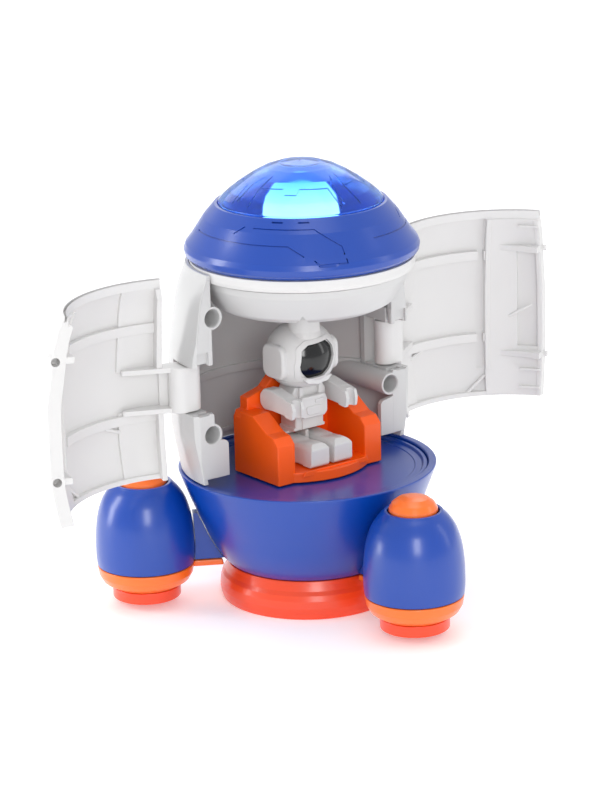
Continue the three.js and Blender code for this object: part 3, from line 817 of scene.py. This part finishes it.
# a thin closed strip that follows angles and heights over a turned surface, for engraving or raising
def surfaceStrip(line, route, width, low, high):
    dense = []
    for (a0, z0), (a1, z1) in zip(route, route[1:]):
        count = max(1, math.ceil(max(abs(a1 - a0) / 2.0, abs(z1 - z0) / 1.2)))
        dense += [(a0 + (a1 - a0) * k / count, z0 + (z1 - z0) * k / count) for k in range(count)]
    dense.append(route[-1])
    spots, outs = [], []
    for a, z in dense:
        r, lean = domeAt(line, z)
        ray = Vector((math.cos(math.radians(a)), math.sin(math.radians(a)), 0))
        spots.append(ray * r + Vector((0, 0, z)))
        outs.append((ray * lean[0] + Vector((0, 0, lean[1]))).normalized())
    bm = bmesh.new()
    rings = []
    for i, (spot, out) in enumerate(zip(spots, outs)):
        before = (spot - spots[i - 1]).normalized() if i else Vector()
        after = (spots[i + 1] - spot).normalized() if i + 1 < len(spots) else Vector()
        along = (before + after).normalized()
        across = out.cross(along).normalized()
        reach = width / 2
        if i and i + 1 < len(spots):
            reach /= max(0.5, along.dot(after))
        rings.append([bm.verts.new(spot + across * s * reach + out * h)
                      for s, h in ((-1, low), (1, low), (1, high), (-1, high))])
    for a, b in zip(rings, rings[1:]):
        for k in range(4):
            bm.faces.new((a[k], a[(k + 1) % 4], b[(k + 1) % 4], b[k]))
    bm.faces.new(rings[0])
    bm.faces.new(rings[-1][::-1])
    return solidFrom(bm)


# a raised tile over a turned surface, given by its corners as angle and height
def surfaceTile(line, corners, low, high, bevel):
    bm = bmesh.new()
    levels = []
    for lift in (low, high):
        level = []
        for a, z in corners:
            r, lean = domeAt(line, z)
            ray = Vector((math.cos(math.radians(a)), math.sin(math.radians(a)), 0))
            level.append(bm.verts.new(ray * (r + lean[0] * lift) + Vector((0, 0, z + lean[1] * lift))))
        levels.append(level)
    bm.faces.new(levels[0])
    bm.faces.new(levels[1][::-1])
    for k in range(len(corners)):
        n = (k + 1) % len(corners)
        bm.faces.new((levels[0][k], levels[0][n], levels[1][n], levels[1][k]))
    return solidFrom(bm, bevel)


def makeCollar():
    outline = rounded(domeSizes["collar"], 1.2)
    # the slope's outer side, which the panel lines follow
    outer = [p for p in outline if p[1] > 153 and p[0] > 36.4 and p[0] > 46.6 - (p[1] - 155.4) * 0.62]
    line = sorted(outer, key=lambda p: p[1])
    cuts, adds = [], []
    width, depth = domeSizes["lineWidth"], domeSizes["lineDepth"]
    for start in (203, 323, 83):
        panel = [(start, 170.4), (start + 37, 170.4), (start + 51, 163.6), (start + 52, 157.5),
                 (start + 38, 157.3), (start + 22, 164.4), (start - 48, 164.6)]
        cuts.append(surfaceStrip(line, panel, width, -depth, 1))
        cuts.append(surfaceStrip(line, [(start - 12, 167.6), (start - 6, 170.6)], width, -depth, 1))
        for offset in (4, -28):
            middle = start + offset
            tile = [(middle - 9, 156.8), (middle + 9, 156.8), (middle + 5, 159.9), (middle - 4, 159.9)]
            adds.append(surfaceTile(line, tile, -0.6, 0.5, 0.2))
        for slot in (start + 11, start + 27.6):
            cuts.append(surfaceStrip(line, [(slot, 172.9), (slot + 7, 172.9)], 0.8, -0.9, 1))
    return fused(turned(outline, 180), adds, cuts)


def makeLens():
    outline = rounded([*domeSizes["lens"], *domeSizes["lensInside"]], 3)
    line = [Vector(p[:2]) for p in domeSizes["lens"][2:]]
    cuts = []
    for start in (5, 95, 185, 275):
        ring = [(start + 6, 177.0), (start + 5, 183.6), (start + 30, 183.9), (start + 33, 182.0),
                (start + 44, 182.0), (start + 47, 183.9), (start + 75, 183.6), (start + 78, 177.0)]
        corner = [(start - 8, 176.8), (start - 9, 184.4), (start - 1, 187.2)]
        for route in (ring, corner, [(start + 5, 183.6), (start + 8, 187.4)]):
            cuts.append(surfaceStrip(line, route, domeSizes["lensLineWidth"], -domeSizes["lensLineDepth"], 1))
    return fused(turned(outline, 160), cuts=cuts)


makePiece("domeCollar", makeCollar(), finish["blue"], "base", ["dome_collar"], sharp=28)
makePiece("domeLens", makeLens(), finish["lens"], "base", ["dome_lens"], sharp=28)
# the light core glows with the lamp's light and carries a painted highlight at its white foot
makePiece("lightCore", turned(rounded(domeSizes["core"], 3, closed=False), 96), finish["glow"], "base",
          ["light_core"])
print("dome made")


# seat

seatSizes = {
    "half": 27.95, "low": 57, "pan": 61.45, "back": 14.9, "front": 9.5, "armInner": 18.85,
    "armFront": -16.45, "rimHalf": 20, "rimFront": -23, "rimBend": 6.5,
    "arm": [(-16.45, 57), (-16.45, 74.3), (-13.4, 77.5), (-9, 78.4), (1, 84.6), (10, 84.6), (10, 57)],
    "wing": [(27.95, 57), (27.95, 81.6), (26.6, 84.4), (24.2, 84.8), (24.2, 89.7), (14.6, 92.4),
             (12.6, 94.4), (9.3, 97.6)],
    "headRoom": 16.25, "headCentre": (-0.8, 2, 106.6),
}


def makeSeat():
    size = seatSizes
    shares = [k / 10 - 1 for k in range(21)]
    rim = [(size["rimHalf"] * t, size["rimFront"] + size["rimBend"] * t * t) for t in shares]
    pan = [(-size["half"], size["back"]), (-size["half"], size["armFront"]), *rim,
           (size["half"], size["armFront"]), (size["half"], size["back"])]
    seat = prism(pan, size["low"], size["pan"], "z", 0.5)
    outline = rounded(size["arm"], 0.5)
    arms = [prism(outline, *sorted((side * size["armInner"], side * size["half"])), "x", 0.6)
            for side in (-1, 1)]
    wings = [*size["wing"], *[(-x, z) for x, z in size["wing"][::-1]]]
    back = prism(rounded(wings, 0.5), size["front"], size["back"], "y", 0.5)
    frontPad = prism([(-18, 60), (18, 60), (16.5, 62.1), (-16.5, 62.1)], -20.6, -19.8, "y", 0.2)
    return fused(seat, [*arms, back, frontPad], [ball(size["headRoom"], size["headCentre"])])


makePiece("orangeSeat", makeSeat(), finish["seat"], "base", ["seat"])
print("seat made")


# astronaut, a toy figure that turns at the neck, shoulders and hips

figureSizes = {
    "x": -0.8, "head": (0, 2, 106.6), "headRadius": 15.4, "neck": 94.7,
    "opening": [(-8.6, 99.9), (-9.4, 105), (-8.4, 111.6), (-5.4, 113.8), (5.2, 114.9), (7.8, 111.4),
                (7.8, 107.6), (5.2, 102.2), (2.0, 99.6), (-4.2, 99.0)],
    "leftLegLow": 1.3, "rightLegLow": -11.1, "legWide": 9.8, "leftArmLow": 11.3, "rightArmLow": -17.6,
    "armWide": 6.3,
}
figurePlace = Matrix.Translation((figureSizes["x"], 0, 0))


def figurePiece(name, solid, body, node, colour="figure", sharp=36):
    makePiece(name, solid, finish[colour], body, [node], sharp, figurePlace)


def grownOutline(outline, by):
    middle = sum((Vector(p) for p in outline), Vector((0, 0))) / len(outline)
    return [tuple(Vector(p) + (Vector(p) - middle).normalized() * by) for p in outline]


def makeHelmet():
    head, radius = figureSizes["head"], figureSizes["headRadius"]
    shell = ball(radius - 0.3, head, 96, 64)
    rim = fused(prism(rounded(grownOutline(figureSizes["opening"], 1.9), 2.4), -20, -4, "y", 0.5),
                limits=[ball(radius - 0.02, head, 96, 64)])
    pad = rounded([(-5.4, 98.4), (9.2, 98.4), (9.2, 113.4), (-5.4, 113.4)], 4.2)
    ears = [prism(pad, *sorted((side * 10, side * 15.3)), "x", 1.2) for side in (-1, 1)]
    band = fused(turned([(0, 94), (15.3, 94), (15.3, 97.4), (0, 97.4)], 96, (0, 2)),
                 limits=[ball(radius - 0.05, head, 96, 64)])
    chinHalf = [(2.2, 96.1), (5.4, 96.6), (7.6, 98.8)]
    chin = prism([*[(-x, z) for x, z in chinHalf[::-1]], (0, 95.6), *chinHalf], -10.4, -2, "y", 0.4)
    peak = turned(rounded([(0, 114), (8.2, 115), (6.9, 118.4), (6.4, 124.4), (5.4, 125.1), (0, 125.1)],
                          1.2, closed=False), 64, (-0.9, -2.2))
    mouth = prism(rounded(figureSizes["opening"], 1.4), -20, -8.6, "y", 0)
    floor = block(-20, 20, -20, 20, 80, figureSizes["neck"], 0)
    deep, past = radius - 0.75, radius + 1
    groove = turned([(deep, 97.4), (past, 97.4), (past, 97.9), (deep, 97.9)], 96, (0, 2))
    return fused(shell, [rim, *ears, band, chin, peak], [mouth, floor, groove])


def makeVisor():
    pane = prism(rounded(grownOutline(figureSizes["opening"], -0.1), 2.0), -20, -8.9, "y", 0)
    return fused(ball(figureSizes["headRadius"] - 1.3, figureSizes["head"], 96, 64), limits=[pane])


figurePiece("helmet", makeHelmet(), "head", "astronaut_helmet")
figurePiece("visor", makeVisor(), "head", "astronaut_visor", "visor")


def makeTorso():
    outline = rounded([(-7.2, 94.1), (-8.8, 91.5), (-8.8, 83), (-7.6, 80), (-7.6, 75), (7.6, 75), (7.6, 80),
                       (8.8, 83), (8.8, 91.5), (7.2, 94.1)], 1.2)
    torso = prism(outline, -3.6, 7.5, "y", 0.8)
    panel = prism(rounded([(-4.4, 75), (-4.4, 81), (3.6, 81), (3.6, 75)], 0.4), -4.3, 0, "y", 0.3)
    waist = prism([(1.5, 73.3), (7.3, 73.3), (7.3, 76), (-3.4, 76), (-3.4, 74.7)], -8.3, 8.3, "x", 0.4)
    straps = []
    for x in (-6.4, 4.0):
        strap = rounded([(x, 88), (x + 2.4, 88), (x + 1.9, 94.1), (x + 0.4, 94.1)], 0.3)
        straps.append(prism(strap, -5.0, -2, "y", 0.3))
    collar = turned([(0, 92.5), (5.3, 92.5), (5.0, 94.15), (0, 94.15)], 64, (0, 2))
    return fused(torso, [panel, collar, waist, *straps])


def makeChestPack():
    outline = rounded([(-6.4, 89.9, 1.2), (-7.3, 87), (-7.2, 82.0, 1.6), (-5.6, 80.3, 1.2), (5.6, 80.3, 1.2),
                       (7.2, 82.0, 1.6), (7.3, 87), (6.4, 89.9, 1.2)], 0.6)
    pack = prism(outline, -7.0, -4.4, "y", 0.8)
    pocket = prism(rounded([(-4.4, 85.6, 0.8), (4.2, 85.6, 0.8), (3.8, 81.7, 1.6), (-4.0, 81.7, 1.6)], 0.8),
                   -7.5, -6, "y", 0.35)
    clasp = prism(rounded([(0.4, 86.6), (5.0, 86.9), (5.0, 88.5), (0.4, 88.2)], 0.4), -7.5, -6, "y", 0.25)
    return fused(pack, [pocket, clasp])


def makeHips():
    beltLine = rounded([(-10.3, 73.1), (-10.3, 74.2), (10.3, 74.2), (10.3, 73.1)], 0.3)
    belt = prism(beltLine, 0.7, 6.3, "y", 0.3)
    middle = prism([(-1.5, 62.3), (6.1, 62.3), (6.1, 73.6), (-1.5, 73.6)], -0.85, 0.85, "x", 0.25)
    return fused(belt, [middle])


figurePiece("torso", makeTorso(), "figure", "astronaut_torso")
figurePiece("chestPack", makeChestPack(), "figure", "astronaut_chest_pack")
figurePiece("hips", makeHips(), "figure", "astronaut_hips")


def makeLeg(low):
    high = low + figureSizes["legWide"]
    outline = rounded([(-18.4, 63.2, 1.6), (-17.2, 62.0, 1), (3.3, 62.0, 1.4), (7.2, 65.3, 1.5),
                       (7.2, 69, 2), (4.2, 71.9, 1.5), (-3.5, 71.6, 1), (-6.5, 71.0, 1), (-9.4, 71.3, 1),
                       (-16.2, 72.0, 1.6), (-18.4, 70, 1.6)], 1)
    leg = prism(outline, low + 0.1, low + 9.7, "x", 1.5, 4)
    boot = prism(rounded([(-18.55, 63.0, 1.2), (-17.4, 61.95, 1), (-12.2, 61.95, 0.4), (-12.6, 72.15, 0.4),
                          (-16.2, 72.15, 1.6), (-18.55, 70, 1.4)], 0.5), low, high, "x", 1.7, 4)
    arch = prism(rounded([(low, 61), (low, 72.4, 4), (high, 72.4, 4), (high, 61)], 0.1), -20, 10, "y", 0)
    return fused(leg, [boot], limits=[arch])


# the arm is made whole, then the hand is bored and slotted so that it can grip
def makeArm(low, side):
    outline = rounded([(8.5, 86.4, 3), (8.5, 91, 3), (5.8, 93.7, 2), (0.5, 94.1, 2), (-9.5, 92.1),
                       (-9.8, 84.5), (0, 84.9, 2), (5.4, 84.5, 2)], 0.6)
    arm = prism(outline, low + 0.1, low + 6.2, "x", 1.5, 4)
    cuff = prism(rounded([(-8.6, 92.2), (-9.0, 84.2), (-14.2, 83.7), (-14.9, 88), (-13.9, 91.1)], 0.8),
                 low, low + figureSizes["armWide"], "x", 0.9)
    panelSpan = (low + 0.4, low + 6.35) if side > 0 else (low - 0.05, low + 5.9)
    panelLine = rounded([(-10, 90.6), (-10.4, 85.4), (-13.6, 85.1), (-13.8, 90)], 0.7)
    panel = prism(panelLine, *panelSpan, "x", 0.2)
    socket = bar((9.1 * side, 3.6, 89.2), (12.4 * side, 3.6, 89.2), 3, 40, 0.3)
    arm = fused(arm, [cuff, panel, socket])
    return fused(arm, cuts=[bar((low + 3.15, -13.6, 80), (low + 3.15, -13.6, 96), 1.9, 32, 0),
                            block(low + 1.9, low + 4.4, -18, -13.6, 80, 96, 0)])


for label, side in (("left", 1), ("right", -1)):
    leg = makeLeg(figureSizes[f"{label}LegLow"])
    figurePiece(f"{label}Leg", leg, f"{label}_leg", f"astronaut_{label}_leg")
    arm = makeArm(figureSizes[f"{label}ArmLow"], side)
    figurePiece(f"{label}Arm", arm, f"{label}_arm", f"astronaut_{label}_arm")
print("astronaut made")


# floor, light and camera

stageSizes = {"floor": 6, "floorTone": (0.985, 0.985, 0.985), "floorGlow": 0.22,
              "worldTone": (0.985, 0.99, 1.0), "world": 0.72, "aim": (0, 0, 0.09)}


def makeStage():
    bm = bmesh.new()
    half = stageSizes["floor"] / 2
    corners = [(-half, -half), (half, -half), (half, half), (-half, half)]
    bm.faces.new([bm.verts.new((x, y, 0)) for x, y in corners])
    mesh = bpy.data.meshes.new("floor")
    bm.to_mesh(mesh)
    bm.free()
    floor = bpy.data.objects.new("floor", mesh)
    scene.collection.objects.link(floor)
    material = bpy.data.materials.new("paleFloor")
    material.use_nodes = True
    shader = material.node_tree.nodes["Principled BSDF"]
    shader.inputs["Base Color"].default_value = srgb(*stageSizes["floorTone"])
    shader.inputs["Roughness"].default_value = 0.75
    shader.inputs["Specular IOR Level"].default_value = 0.1
    shader.inputs["Emission Color"].default_value = srgb(*stageSizes["floorTone"])
    shader.inputs["Emission Strength"].default_value = stageSizes["floorGlow"]
    mesh.materials.append(material)
    world = bpy.data.worlds.new("softLight")
    scene.world = world
    world.use_nodes = True
    background = world.node_tree.nodes["Background"]
    background.inputs["Color"].default_value = srgb(*stageSizes["worldTone"])
    background.inputs["Strength"].default_value = stageSizes["world"]


# soft boxes: place in metres, width and height, and power in watts
lights = {
    "rimBox": ((-0.95, 0.7, 0.45), (0.3, 0.9), 6.5),
    "frontBox": ((-0.65, -1.15, 0.55), (0.35, 0.6), 5.2),
    "topBox": ((0.0, -0.2, 1.3), (0.7, 0.7), 2.4),
    "sideBox": ((0.9, -0.75, 0.5), (0.2, 0.8), 0.9),
    "backBox": ((0.9, 1.5, 1.6), (2.4, 2.0), 22),
}


def makeLights():
    aim = Vector(stageSizes["aim"])
    for name, (spot, size, power) in lights.items():
        lamp = bpy.data.lights.new(name, "AREA")
        lamp.shape = "RECTANGLE"
        lamp.size, lamp.size_y = size
        lamp.energy = power
        holder = bpy.data.objects.new(name, lamp)
        holder.location = spot
        holder.rotation_euler = (aim - Vector(spot)).to_track_quat("-Z", "Y").to_euler()
        scene.collection.objects.link(holder)


# place in metres, angles in degrees and lens in millimetres
view = {"place": (-0.751488, -0.984253, 0.451580), "heading": 37.2, "dip": 16.356, "roll": -1.4925,
        "lens": 136.81}


def makeCamera():
    heading, dip = math.radians(view["heading"]), math.radians(view["dip"])
    ahead = Vector((math.cos(dip) * math.sin(heading), math.cos(dip) * math.cos(heading), -math.sin(dip)))
    data = bpy.data.cameras.new("camera")
    data.sensor_width = 36
    data.lens = view["lens"]
    data.clip_end = 50
    camera = bpy.data.objects.new("camera", data)
    turn = ahead.to_track_quat("-Z", "Y").to_matrix().to_4x4()
    roll = Matrix.Rotation(math.radians(view["roll"]), 4, "Z")
    camera.matrix_world = Matrix.Translation(view["place"]) @ turn @ roll
    scene.collection.objects.link(camera)
    scene.camera = camera


makeStage()
makeLights()
makeCamera()
scene.view_settings.view_transform = "Standard"
print("floor, light and camera made")
